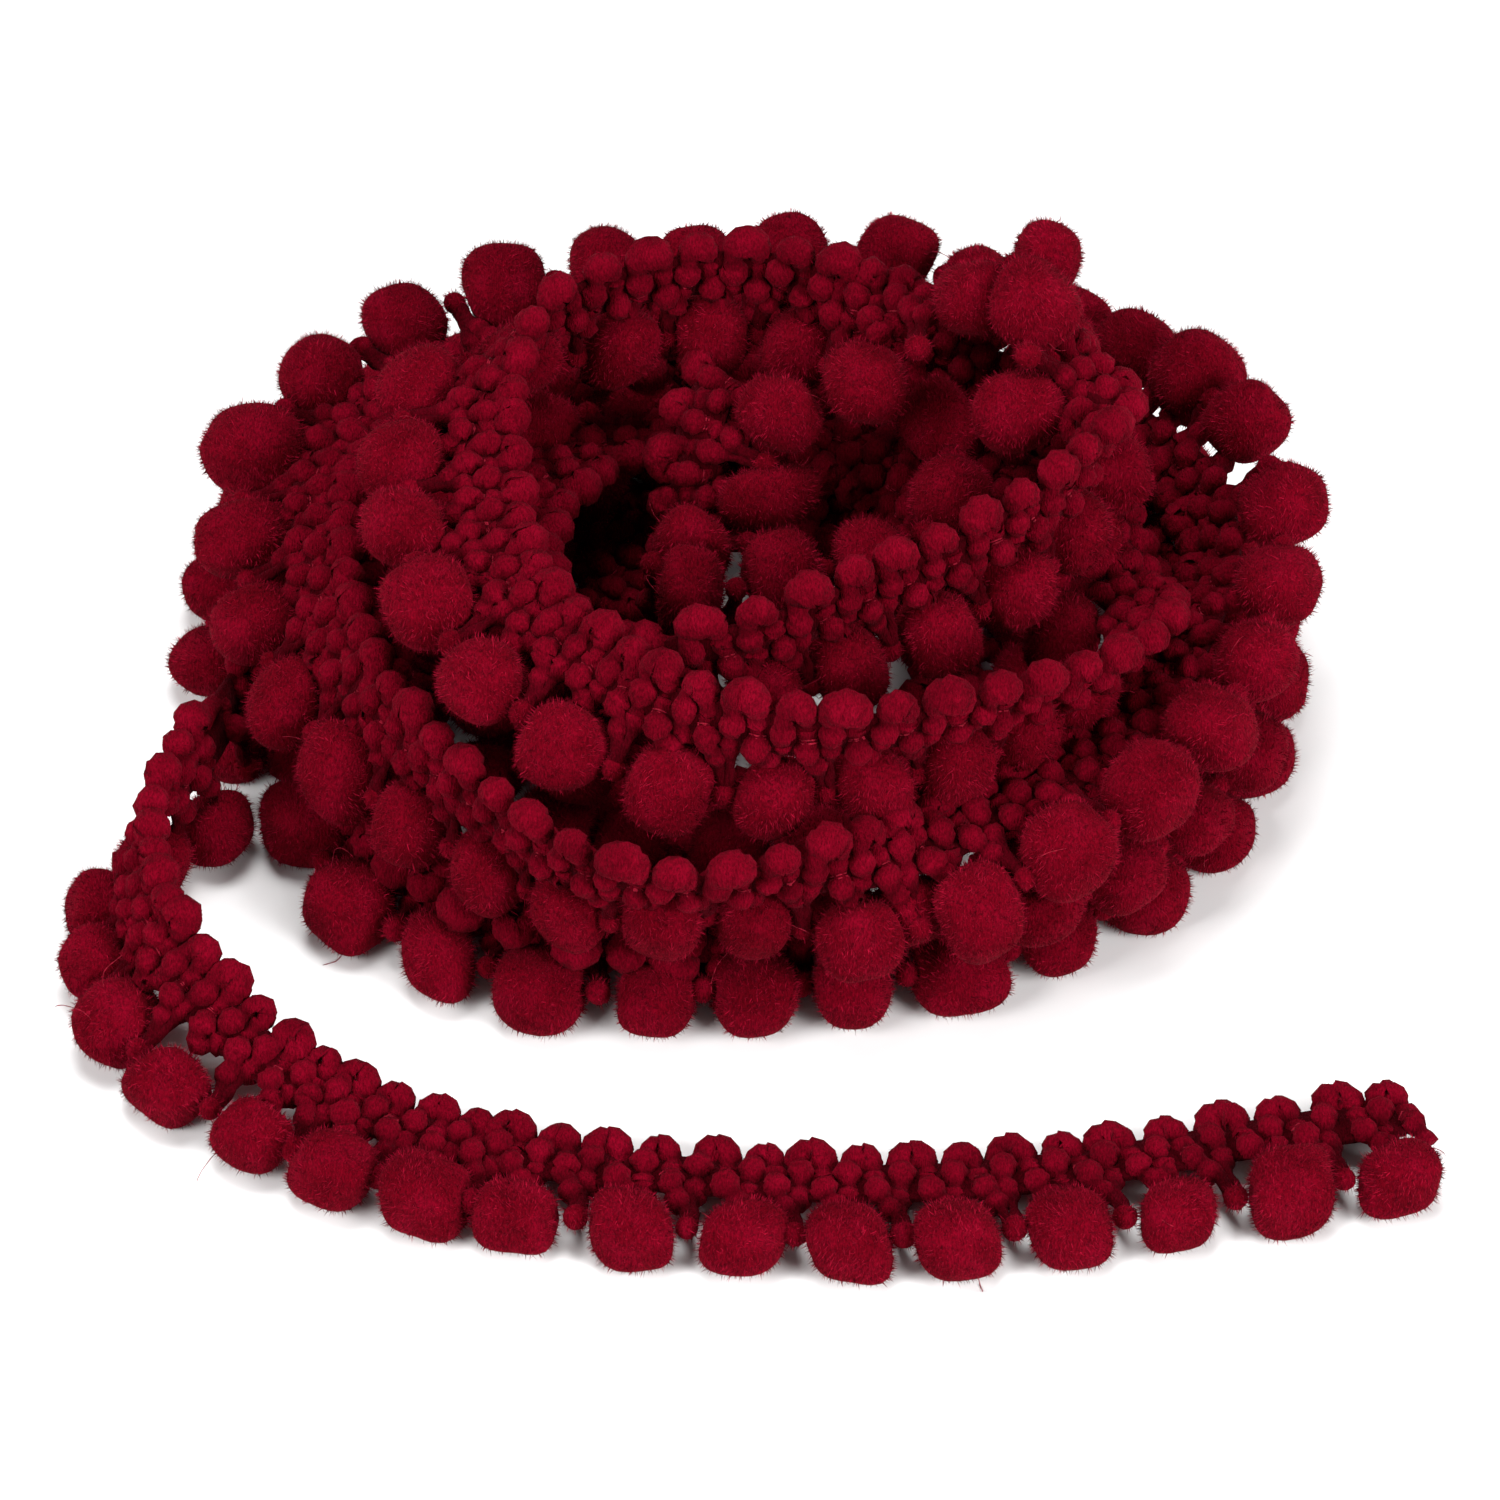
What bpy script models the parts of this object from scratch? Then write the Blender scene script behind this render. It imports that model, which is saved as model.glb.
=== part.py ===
"""Pompom fringe trim: an open, loosely wound coil with one loose end.

A narrow scalloped heading band carries a row of small round pompoms along its
other edge. About 1.66 m of it is wound by hand into an open coil: two upright
rims around a hollow mouth, two rings around them and, on the floor, an inner
turn and a wide outer turn. The last 0.18 m leaves the coil at the left, turns
over once and lies along the front. The wound part is one solid; the loose end
is its heading and its separate pompoms.

Lengths below are in millimetres, and the model is built in metres, +Z up.
"""
import bpy
import bmesh
import numpy as np
from math import cos, pi, radians, sin
from mathutils import Vector

MM = 0.001

# The trim
POMPOM_DIAMETER = 9.6
POMPOM_PITCH = 10.8         # along the neutral line of the band
POMPOM_ROW = 9.2            # from the path to the pompoms' centres
NEUTRAL_LINE = 3.5          # from the path, toward the pompoms
FIRST_POMPOM = 5.0          # from the inner end
BAND_THICKNESS = 3.4
SCALLOP_EDGE = 6.0          # from the path to the large scallops' tops
SCALLOP_DEPTH = 1.5
SCALLOP_PITCH = POMPOM_PITCH / 2
BAND_LOWER_EDGE = 3.95      # from the path to the edge beside the pompoms
FLAT = 0.55                 # how far the resting pompoms are pressed flat

# The wound solid
COIL_END_TURN = 2717.0      # turn angle at which the loose end begins
LOOSE_END_GAP = 1.6
PRESS = 1.3                 # how far the lowest turn is pressed onto the floor
PRESS_HEIGHT = 8.0          # height at which the pressing fades out
CLOSING = 1.0               # crevices narrower than twice this are filled
FINE_CELL = 1.5
FORM_CELL = 1.9
COIL_TRIANGLES = 5880

# Where the box's centre lies, from the coil's axis
CENTRE_X = -2.69
CENTRE_Y = -14.35

# The route of the trim, from its inner end to its free end. The turn angle
# goes counter-clockwise from +X. The lean turns the band about its own path:
# 0 has the pompoms outward, 90 down, 180 inward and 270 up.
# turn_deg, radius, height, lean_deg
ROUTE = [
    # innermost loose end
    (  99, 19,   33.5, -170),
    ( 110, 16.5, 33,   -170),
    ( 124, 13.3, 31,   -170),
    ( 136, 11.5, 27,   -166),
    ( 150,  9.8, 22.5, -158),
    ( 175,  9.5, 19,   -130),
    ( 200, 13,   18,    -92),
    ( 220, 13.5, 17.5,  -80),
    ( 240, 11,   17,    -82),
    ( 270,  8,   17,    -86),
    ( 310,  8,   17,    -85),
    ( 340, 10.5, 17.5,  -75),
    ( 365, 14.5, 18.5,  -62),
    ( 395, 18,   20,    -45),
    ( 420, 20,   20.5,  -12),
    ( 437, 21,   21,      8),
    ( 455, 21.7, 21.5,   18),
    ( 480, 23,   22,     18),
    ( 510, 25.5, 23,     10),
    ( 540, 27.5, 24.5,    8),
    ( 562, 29,   25.5,    8),
    ( 580, 30,   26.5,   20),
    ( 596, 32.5, 29,     42),
    ( 607, 34,   33.5,   70),
    ( 616, 34.5, 38.5,   85),
    # front rim, band upright
    ( 626, 34,   40.7,   85),
    ( 635, 32.3, 41.5,   85),
    ( 645, 30.5, 42,     85),
    ( 658, 29.5, 42,     85),
    ( 672, 30.5, 42.5,   85),
    ( 685, 32,   43,     85),
    ( 699, 35,   43,     90),
    ( 708, 36.3, 43.5,  105),
    # right top, pompoms turned up and inward
    ( 715, 36.7, 44,    150),
    ( 721, 37,   45,    195),
    ( 729, 36.5, 44.5,  220),
    ( 738, 36.5, 43,    243),
    ( 747, 38,   41.5,  253),
    ( 753, 36,   41.5,  253),
    ( 759, 30,   42.5,  240),
    ( 764, 25.5, 43.5,  210),
    ( 771, 22.5, 43.5,  165),
    ( 780, 21.5, 43,    128),
    ( 792, 22.5, 42.5,  105),
    # back rim upright
    ( 810, 24.3, 42.5,   95),
    ( 837, 26,   42.5,   92),
    ( 857, 29,   42,     85),
    ( 870, 31,   41,     60),
    # left flank, band nearly flat
    ( 880, 32,   40,     32),
    ( 892, 32,   38.5,   11),
    ( 905, 31,   37.5,    4),
    ( 919, 32.2, 37.5,    6),
    ( 930, 34,   38,     10),
    ( 941, 36,   38.5,   16),
    ( 953, 38,   38.5,   22),
    ( 965, 40.2, 38.5,   40),
    # second front rim, upright
    ( 976, 42.8, 38.5,   60),
    ( 986, 44.5, 38.5,   78),
    ( 997, 45.5, 38,     90),
    (1014.7, 45.9, 37, 102),
    (1019.8, 46.3, 36.5, 104),
    (1025.6, 46.3, 35.3, 106),
    (1031.6, 46.6, 34, 110),
    (1038.6, 46.7, 32.3, 115),
    (1046.4, 46.9, 30.3, 124),
    (1053.5, 45.9, 28.2, 142),
    (1063.5, 43.4, 25.5, 178),
    (1075.3, 42.3, 22.3, 222),
    (1084.6, 42.4, 20.2, 250),
    (1095, 41,   19.5,  268),
    (1110, 41,   20,    270),
    (1125, 40,   22,    280),
    (1137, 38,   23,    295),
    (1149, 36.5, 24,    312),
    (1162, 34.5, 24.5,  328),
    (1176, 33,   25,    336),
    (1192, 34,   25,    338),
    (1207, 38,   25.5,  338),
    # big outer ring
    (1223.3, 44.1, 25.5, 350),
    (1245.2, 50.6, 25.3, 368),
    (1259.9, 50.3, 25, 384),
    (1276.3, 50.2, 24.8, 402),
    (1292.7, 50.8, 25.2, 420),
    (1305.3, 51.9, 25.7, 436),
    (1315.2, 53.5, 26, 449),
    (1331.1, 56.9, 25.8, 460),
    (1336.7, 56.6, 25.4, 470),
    (1341.7, 56, 25.1, 474),
    (1346.6, 54.7, 25, 472),
    (1352.1, 53.3, 24.7, 462),
    (1357.3, 52.4, 24.3, 444),
    (1363.3, 51.4, 23.8, 420),
    (1370, 50.1, 23.4, 398),
    (1378.3, 48.8, 23.2, 372),
    (1387.5, 48.5, 23.2, 361),
    (1396.5, 48.5, 22.8, 352),
    (1404.7, 48.5, 22.3, 348),
    (1413.4, 48.7, 21.8, 345),
    (1423.3, 48.9, 21.3, 340),
    (1432.9, 50, 21, 331),
    (1441, 51,   20.8,  323),
    (1452, 50.5, 21.5,  320),
    (1462, 48.5, 20.5,  321),
    (1477, 48,   17,    328),
    (1495, 47,   12.5,  340),
    (1520, 45,   11,    350),
    (1550, 43.5, 11,    350),
    (1580, 44.5, 11,    345),
    # second ring
    (1605, 46,   11,    340),
    (1617, 46.5, 10.5, 336),
    (1627, 48, 9.5, 318),
    (1635, 50, 8.8, 292),
    (1643, 52.3, 8.8, 262),
    (1657.6, 52.1, 10.2, 232),
    (1665.9, 51.9, 11.3, 215),
    (1672.3, 52.2, 11.5, 205),
    (1678.5, 52.1, 11.5, 200),
    (1684.2, 51.3, 11.2, 200),
    (1689.5, 49.9, 10.5, 200),
    (1694.9, 48.7, 9.5, 203),
    (1700.7, 47.6, 8.2, 212),
    (1706.8, 46.8, 7, 230),
    (1713.3, 46, 6.5, 255),
    (1720.4, 45.1, 7, 280),
    (1727.6, 45.7, 8, 303),
    (1734.5, 46.9, 9.3, 322),
    (1750, 47,   10.5,  348),
    (1775, 48,    9.7,  350),
    (1800, 47.5,  9.8,  350),
    (1825, 43,   10,    350),
    (1850, 36.5, 10.3,  350),
    (1875, 30.8, 10.3,  350),
    (1900, 26,   10,    350),
    (1925, 22.3,  9.2,  350),
    (1950, 20.2,  7.6,  350),
    (1975, 19.7,  5.4,  350),
    (1995, 20.2,  4.1,  351),
    # inner turn on the floor
    (2015, 20.8,  3.6,  352),
    (2045, 21.3,  3.6,  352),
    (2080, 21.3,  3.6,  352),
    (2115, 21.3,  3.6,  352),
    (2150, 21.5,  3.6,  352),
    (2180, 22.3,  3.6,  352),
    (2210, 24.5,  3.6,  352),
    (2240, 27.2,  3.6,  352),
    (2270, 30,    3.6,  352),
    (2300, 33.3,  3.6,  352),
    (2320, 36,    3.6,  352),
    (2335, 38,    3.6,  352),
    # ring on the floor
    (2352, 42.5,  3.6,  352),
    (2365, 47.5,  3.6,  352),
    (2377, 50.3,  3.6,  352),
    (2393, 48.8,  3.6,  352),
    (2406, 46.8,  3.6,  352),
    (2417, 44,    3.6,  352),
    (2432, 42,    3.6,  352),
    (2450, 43,    3.6,  352),
    (2473, 45,    3.6,  352),
    (2500, 47,    3.6,  352),
    (2540, 48.5,  3.6,  352),
    (2580, 48.5,  3.6,  352),
    (2620, 51,    3.6,  352),
    (2650, 53,    3.8,  352),
    (2675, 54,    4.4,  355),
    (2690, 54.5,  5.5,  365),
    (2702, 56.3,  8.5,  405),
    (2710, 59.3, 12.5,  450),
    # loose end: leaves upright, turns over and lies flat along the front
    (2717, 64,   13.3,  470),
    (2721, 68,   13.3,  468),
    (2725, 73.5, 13.8,  448),
    (2728, 77.5, 13.3,  430),
    (2731, 79.8, 12.6,  420),
    (2735, 82,   12,    413),
    (2740, 82.9, 10.2,  398),
    (2746, 82.6,  7.1,  376),
    (2753, 81.6,  4.6,  360),
    (2762, 80,    3.6,  352),
    (2773, 78.5,  3.6,  352),
    (2785, 77.5,  3.6,  352),
    (2798, 79,    3.6,  352),
    (2812, 82.5,  3.6,  352),
    (2822, 86.5,  3.6,  352),
    (2829, 91,    3.6,  352),
    (2834, 96,    3.6,  352),
    (2836.5, 99,  3.6,  352),
]

# Pompoms of the loose end, which the twist crowds and spreads.
# turn_deg
LOOSE_POMPOMS = [
    2721.3, 2726.0, 2730.2, 2734.6, 2739.4, 2745.5, 2752.0, 2758.3, 2765.3,
    2772.0, 2780.2, 2788.7, 2796.3, 2804.2, 2811.8, 2819.3, 2827.0, 2833.6,
]

COLOURS = {
    "heading": (0.150, 0.004, 0.016),
    "pompom": (0.130, 0.003, 0.013),
    "coil": (0.140, 0.003, 0.014),
}


def catmull_rom(rows, steps=24):
    """A smooth curve through the rows of a table, column by column."""
    p = np.asarray(rows, float)
    p = np.vstack([2 * p[0] - p[1], p, 2 * p[-1] - p[-2]])
    out = []
    for i in range(1, len(p) - 2):
        a, b, c, d = p[i - 1], p[i], p[i + 1], p[i + 2]
        for k in range(steps):
            t = k / steps
            out.append(0.5 * (2 * b + (c - a) * t
                              + (2 * a - 5 * b + 4 * c - d) * t * t
                              + (3 * b - a - 3 * c + d) * t ** 3))
    out.append(p[-2])
    return np.array(out)


class Path:
    """The route with its tangent, width and face directions by length."""

    def __init__(self, rows):
        table = catmull_rom(rows)
        turn = np.radians(table[:, 0])
        self.turn = table[:, 0]
        self.point = np.stack([table[:, 1] * np.cos(turn) - CENTRE_X,
                               table[:, 1] * np.sin(turn) - CENTRE_Y,
                               table[:, 2]], -1)
        tangent = np.gradient(self.point, axis=0)
        tangent /= np.linalg.norm(tangent, axis=1)[:, None]
        outward = np.cross(tangent, [0.0, 0.0, 1.0])
        outward /= np.linalg.norm(outward, axis=1)[:, None]
        upward = np.cross(outward, tangent)
        lean = np.radians(table[:, 3])[:, None]
        self.tangent = tangent
        self.width = np.cos(lean) * outward - np.sin(lean) * upward
        steps = np.linalg.norm(np.diff(self.point, axis=0), axis=1)
        self.length = np.concatenate([[0.0], np.cumsum(steps)])

    def at_turn(self, turn_deg):
        return float(np.interp(turn_deg, self.turn, self.length))

    def frame(self, s):
        """Point, tangent, width direction and face normal at length s."""
        def read(column):
            return np.array([np.interp(s, self.length, column[:, k])
                             for k in range(3)])
        point = read(self.point)
        tangent = read(self.tangent)
        tangent /= np.linalg.norm(tangent)
        width = read(self.width)
        width -= tangent * np.dot(width, tangent)
        width /= np.linalg.norm(width)
        return point, tangent, width, np.cross(tangent, width)

    def pompom_stations(self, stop):
        """Lengths at which the evenly spaced pompoms sit, up to stop."""
        line = self.point + NEUTRAL_LINE * self.width
        steps = np.linalg.norm(np.diff(line, axis=0), axis=1)
        neutral = np.concatenate([[0.0], np.cumsum(steps)])
        wanted = np.arange(FIRST_POMPOM, neutral[-1], POMPOM_PITCH)
        found = np.interp(wanted, neutral, self.length)
        return found[found < stop]


def make_object(name, mesh, collection):
    obj = bpy.data.objects.new(name, mesh)
    collection.objects.link(obj)
    return obj


def mesh_from(bm, name):
    bmesh.ops.recalc_face_normals(bm, faces=bm.faces)
    mesh = bpy.data.meshes.new(name)
    bm.to_mesh(mesh)
    bm.free()
    return mesh


def loft(bm, sections):
    """Bridge equal closed sections in order and cap both ends."""
    rings = [[bm.verts.new(Vector(p) * MM) for p in ring] for ring in sections]
    count = len(rings[0])
    for near, far in zip(rings, rings[1:]):
        for k in range(count):
            n = (k + 1) % count
            bm.faces.new((near[k], near[n], far[n], far[k]))
    bm.faces.new(rings[0][::-1])
    bm.faces.new(rings[-1])


def band_section(path, s, grow, scalloped):
    """Six-sided section of the heading at length s, lifted off the floor."""
    point, tangent, width, face = path.frame(s)
    half = BAND_THICKNESS / 2 + grow
    top = SCALLOP_EDGE + grow
    if scalloped:
        phase = (s % SCALLOP_PITCH) / SCALLOP_PITCH
        large = 1.0 if int(s / SCALLOP_PITCH) % 2 == 0 else 0.8
        top -= SCALLOP_DEPTH * (1.0 - large * abs(sin(pi * phase)) ** 0.6)
    low = BAND_LOWER_EDGE + grow if scalloped else POMPOM_ROW
    outline = [(-top, 0.45), (-top + 1.3, 1.0), (low - 0.6, 1.0),
               (low, 0.0), (low - 0.6, -1.0), (-top + 1.3, -1.0),
               (-top, -0.45)]
    ring = [point + width * v + face * half * f for v, f in outline]
    lowest = min(p[2] for p in ring)
    lift = max(0.0, -lowest) if scalloped else 0.0
    return [p + np.array([0.0, 0.0, lift]) for p in ring]


def pompom_centre(path, s):
    """Centre of a pompom; one that meets the floor is pressed onto it."""
    point, tangent, width, face = path.frame(s)
    centre = point + width * POMPOM_ROW
    if centre[2] < POMPOM_DIAMETER / 2 + 0.3:
        centre[2] = POMPOM_DIAMETER / 2 - FLAT
    return centre


def evaluated_mesh(obj):
    depsgraph = bpy.context.evaluated_depsgraph_get()
    return bpy.data.meshes.new_from_object(obj.evaluated_get(depsgraph))


def largest_body(bm):
    """Leave only the body with the most faces."""
    unseen = set(bm.verts)
    bodies = []
    while unseen:
        start = unseen.pop()
        body = [start]
        for vert in body:
            for edge in vert.link_edges:
                other = edge.other_vert(vert)
                if other in unseen:
                    unseen.remove(other)
                    body.append(other)
        bodies.append(body)
    bodies.sort(key=len, reverse=True)
    spare = [v for body in bodies[1:] for v in body]
    bmesh.ops.delete(bm, geom=spare, context="VERTS")


def cut_flat(bm):
    """Cut what lies below the floor and close it with flat faces."""
    result = bmesh.ops.bisect_plane(
        bm, geom=bm.verts[:] + bm.edges[:] + bm.faces[:], dist=1e-6,
        plane_co=(0, 0, 0), plane_no=(0, 0, 1), clear_inner=True)
    edges = [e for e in result["geom_cut"]
             if isinstance(e, bmesh.types.BMEdge) and e.is_boundary]
    if edges:
        bmesh.ops.holes_fill(bm, edges=[e for e in bm.edges if e.is_boundary])


def build_wound_coil(path, collection, guides):
    """One solid of the wound form, from swept bands and balls."""
    stop = path.at_turn(COIL_END_TURN)
    bm = bmesh.new()
    stations = np.linspace(0.0, stop, int(stop / 3.0))
    loft(bm, [band_section(path, s, CLOSING, False) for s in stations])
    for s in path.pompom_stations(stop):
        made = bmesh.ops.create_icosphere(
            bm, subdivisions=2, radius=(POMPOM_DIAMETER / 2 + CLOSING + 0.15) * MM)
        bmesh.ops.translate(bm, verts=made["verts"],
                            vec=Vector(pompom_centre(path, s)) * MM)
    guide = make_object("coil_guide", mesh_from(bm, "coil_guide"), guides)
    guide.hide_render = True
    guide.display_type = "WIRE"
    fine = guide.modifiers.new("fuse", "REMESH")
    fine.mode = "VOXEL"
    fine.voxel_size = FINE_CELL * MM
    shrink = guide.modifiers.new("close", "DISPLACE")
    shrink.direction = "NORMAL"
    shrink.mid_level = 0.0
    shrink.strength = -CLOSING * MM
    form = guide.modifiers.new("form", "REMESH")
    form.mode = "VOXEL"
    form.voxel_size = FORM_CELL * MM
    mesh = evaluated_mesh(guide)
    bm = bmesh.new()
    bm.from_mesh(mesh)
    largest_body(bm)
    bmesh.ops.triangulate(bm, faces=bm.faces[:])
    count = len(bm.faces)
    coil = make_object("wound_coil", mesh_from(bm, "wound_coil"), collection)
    thin = coil.modifiers.new("thin", "DECIMATE")
    thin.ratio = min(1.0, COIL_TRIANGLES / count)
    mesh = evaluated_mesh(coil)
    coil.modifiers.remove(thin)
    bm = bmesh.new()
    bm.from_mesh(mesh)
    for vert in bm.verts:
        fade = 1.0 - vert.co.z / (PRESS_HEIGHT * MM)
        vert.co.z -= PRESS * MM * min(1.0, max(0.0, fade))
    cut_flat(bm)
    bmesh.ops.triangulate(bm, faces=bm.faces[:])
    bmesh.ops.recalc_face_normals(bm, faces=bm.faces)
    bm.to_mesh(mesh)
    bm.free()
    coil.data = mesh
    bpy.data.objects.remove(guide)
    return coil


def build_loose_heading(path, collection):
    """The heading of the loose end: a lofted strip with a scalloped edge."""
    start = path.at_turn(COIL_END_TURN) + LOOSE_END_GAP
    stop = path.length[-1]
    stations = np.arange(start, stop, SCALLOP_PITCH / 3)
    bm = bmesh.new()
    loft(bm, [band_section(path, s, 0.0, True) for s in stations])
    return make_object("loose_end_heading", mesh_from(bm, "loose_end_heading"),
                       collection)


def build_loose_pompoms(path, collection):
    """One ball per pompom, squeezed by its neighbours along the row."""
    places = [path.at_turn(turn) for turn in LOOSE_POMPOMS]
    centres = [pompom_centre(path, s) for s in places]
    balls = []
    for i, centre in enumerate(centres):
        near = [np.linalg.norm(centre - centres[k])
                for k in (i - 1, i + 1) if 0 <= k < len(centres)]
        along = min(POMPOM_DIAMETER, min(near) - 0.5)
        bm = bmesh.new()
        bmesh.ops.create_uvsphere(bm, u_segments=10, v_segments=7,
                                  radius=POMPOM_DIAMETER / 2 * MM)
        row = path.frame(places[i])[1]
        row = np.array([row[0], row[1], 0.0])
        if 0 < i < len(centres) - 1:
            row = centres[i + 1] - centres[i - 1]
        row = Vector(row / np.linalg.norm(row))
        squeeze = along / POMPOM_DIAMETER
        for vert in bm.verts:
            vert.co -= row * vert.co.dot(row) * (1.0 - squeeze)
            vert.co += Vector(centre) * MM
        cut_flat(bm)
        name = "pompom_%02d" % (i + 1)
        balls.append(make_object(name, mesh_from(bm, name), collection))
    return balls


def give_material(obj, name):
    material = bpy.data.materials.get(name)
    if material is None:
        material = bpy.data.materials.new(name)
        material.use_nodes = True
        shader = material.node_tree.nodes["Principled BSDF"]
        shader.inputs["Base Color"].default_value = COLOURS[name] + (1.0,)
        shader.inputs["Roughness"].default_value = 0.9
        shader.inputs["Metallic"].default_value = 0.0
    obj.data.materials.clear()
    obj.data.materials.append(material)


def main():
    for obj in list(bpy.data.objects):
        bpy.data.objects.remove(obj, do_unlink=True)
    parts = bpy.data.collections.new("pompom_fringe_trim")
    guides = bpy.data.collections.new("guides")
    bpy.context.scene.collection.children.link(parts)
    bpy.context.scene.collection.children.link(guides)
    path = Path(ROUTE)
    coil = build_wound_coil(path, parts, guides)
    give_material(coil, "coil")
    heading = build_loose_heading(path, parts)
    give_material(heading, "heading")
    for ball in build_loose_pompoms(path, parts):
        give_material(ball, "pompom")


main()
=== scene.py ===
"""The pompom fringe trim as it looks: fuzzy yarn, clipped pompoms, soft light.

The heading is one thick chenille yarn. It runs up over a crown, down in a row
of knobs, over the next smaller crown and down to a bead between two pompoms,
and so on along the whole trim. Fine thread binds its pinches. The pompoms are
uneven barrels pressed by their neighbours. Short pile stands on all of it, and
a few long fibres stray from the pompoms. The route is the CAD's own. Lengths
are in millimetres unless a line says otherwise, and objects are in metres.
"""
from math import cos, pi, radians, sin

import bmesh
import bpy
import numpy as np
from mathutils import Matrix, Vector


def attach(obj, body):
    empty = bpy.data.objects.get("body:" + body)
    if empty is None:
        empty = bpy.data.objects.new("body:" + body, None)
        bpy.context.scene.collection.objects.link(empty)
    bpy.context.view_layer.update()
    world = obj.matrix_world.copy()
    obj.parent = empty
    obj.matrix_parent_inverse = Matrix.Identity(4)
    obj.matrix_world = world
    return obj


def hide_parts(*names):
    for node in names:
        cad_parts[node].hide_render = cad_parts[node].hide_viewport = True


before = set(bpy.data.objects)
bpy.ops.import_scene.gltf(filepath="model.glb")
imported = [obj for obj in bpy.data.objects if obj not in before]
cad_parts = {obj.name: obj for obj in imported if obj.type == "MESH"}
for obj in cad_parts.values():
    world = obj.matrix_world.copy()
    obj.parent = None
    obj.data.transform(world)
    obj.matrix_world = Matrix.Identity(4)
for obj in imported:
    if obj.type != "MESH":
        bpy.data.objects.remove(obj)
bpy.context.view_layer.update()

MM = 0.001
SEED = 20

# The trim, as in the CAD
POMPOM_DIAMETER = 9.6
POMPOM_PITCH = 10.8         # along the neutral line of the band
POMPOM_ROW = 9.2            # from the path to the pompoms' centres
NEUTRAL_LINE = 3.5          # from the path, toward the pompoms
FIRST_POMPOM = 5.0          # from the inner end
FLAT = 0.55                 # how far the resting pompoms are pressed flat
COIL_END_TURN = 2717.0      # turn angle at which the loose end begins
CENTRE_X = -2.69            # where the box's centre lies, from the coil's axis
CENTRE_Y = -14.35
ROUTE_STEPS = 24            # points of the path for each row of the route

# Least heights above the floor
YARN_CLEAR = 0.03
BALL_CLEAR = 0.05
PILE_CLEAR = 0.02
FIBRE_CLEAR = 0.1

# Pompoms. A kind has its half sizes along, across and through the trim, the
# widest half along the trim where there is room, and the range of powers of its
# shape, in which 2 is a ball and more is a barrel
COIL_KIND = ((4.25, 5.00, 4.25), 4.85, (2.2, 2.7))
LOOSE_KIND = ((4.45, 3.85, 4.00), 4.45, (2.6, 3.2))
BALL_POINTS = 400
ROOM_SHARE = 0.40           # part of the gap to the next centre that a half fills
TOUCH_SHARE = 0.50          # part of that gap at which two pompoms touch
LEAST_SQUEEZE = 0.80
SQUEEZED_ACROSS = -1.1      # powers by which a squeezed pompom grows
SQUEEZED_THROUGH = -0.7
SIZES = (0.93, 1.04)
SWELL, SWELL_WAVES, SWELL_PITCH = 0.060, 5, 2.6
DIMPLE, DIMPLE_WAVES, DIMPLE_PITCH = 0.026, 9, 6.0
SKEW = 0.11
GIRTH = 0.05
PRESS_REACH = 11.0          # centres nearer than this press each other
PRESS_SOFT = 0.25
PRESS_SHARE = 0.9
NEAR_FLOOR = 0.3            # a pompom no further above the floor than this rests on it
FLOOR_BEND = 0.25           # below this height its points bend onto the floor
FLOOR_SOFT = 0.8

# Pile, in blades of one triangle each
HEADING_PILE = 1050         # blades for each pompom's length of the heading
POMPOM_PILE = 2150          # blades for each pompom
HEADING_BLADE = (0.48, 0.085)       # length and width
POMPOM_BLADE = (0.70, 0.105)
BLADE_LENGTHS = (0.45, 1.35)        # parts of the length, at random
BLADE_WIDTHS = (0.7, 1.3)
BLADE_LEAN = 0.38
BLADE_TURN = 0.3            # how far a blade's flat side turns at random
COMB_WAVE = 0.55            # how fast the combed direction changes
COMB = 0.45                 # how far the blades follow it
DROOP = 0.10
ROOT = 0.05                 # how deep a blade's foot sits
UNDERSIDE = -0.25           # below this slope a face lies underneath
UNDERSIDE_SHARE = 0.35      # and has this part of the blades
LONG_SHARE, LONGER = 0.02, 1.5
DARKEST = 0.15              # shade of the darkest blade
DARK_POWER = 1.3            # more than 1 makes more of them dark
FOOT_SHADE = 0.40           # of a blade's own shade left at its foot, as painted shade
PINCHED_LENGTH = 0.35       # of a blade's length, in the deepest pinch

# Binding thread and stray fibres
THREAD_RADIUS = 0.11
THREAD_SIDES = 6            # of each loop
THREAD_SHIFT = 0.15         # between a pinch and each of its two loops
THREAD_STRAY = 0.06         # added to that, at random
THREAD_GAP = 0.02           # between the yarn and the loop's middle
THREAD_GAP_STRAY = 0.05
FIBRES = 100
FIBRE_RADIUS = 0.055
FIBRE_TIP = 0.02
FIBRE_STEP = 0.55
FIBRE_STEPS = (5, 13)
FIBRE_ROOT = 0.3            # how deep it starts
FIBRE_SPREAD = 0.6          # of the directions in which fibres start
FIBRE_UP = (0.1, 0.3, 1.0)
FIRST_CURL, CURL_KEPT, CURL_CHANGE = 0.35, 0.8, 0.22
CURL_TURN = 0.5             # how far the curl turns the fibre at a step
SAG = 0.04                  # growing by this at each step
FREE_STEPS, HUG = 3, 0.12   # after these steps the fibre bends back to the trim

# Colours, linear: the dark, middle and light of each fibre
YARN_COLOURS = ((0.092, 0.0003, 0.005), (0.130, 0.0005, 0.007), (0.166, 0.0009, 0.010))
CLIPPED_COLOURS = ((0.090, 0.0003, 0.004), (0.120, 0.0005, 0.006),
                   (0.150, 0.0008, 0.009))
YARN_PILE_COLOUR = (0.182, 0.0020, 0.013)
POMPOM_PILE_COLOUR = (0.255, 0.0040, 0.019)
THREAD_COLOURS = ((0.14, 0.001, 0.008), (0.30, 0.004, 0.022))
SHEEN_TINT = (1.0, 0.10, 0.16)
FLOOR_COLOUR = (0.92, 0.92, 0.92)
ROOM_COLOUR, ROOM_STRENGTH = (1.0, 0.99, 0.98), 0.17

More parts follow.
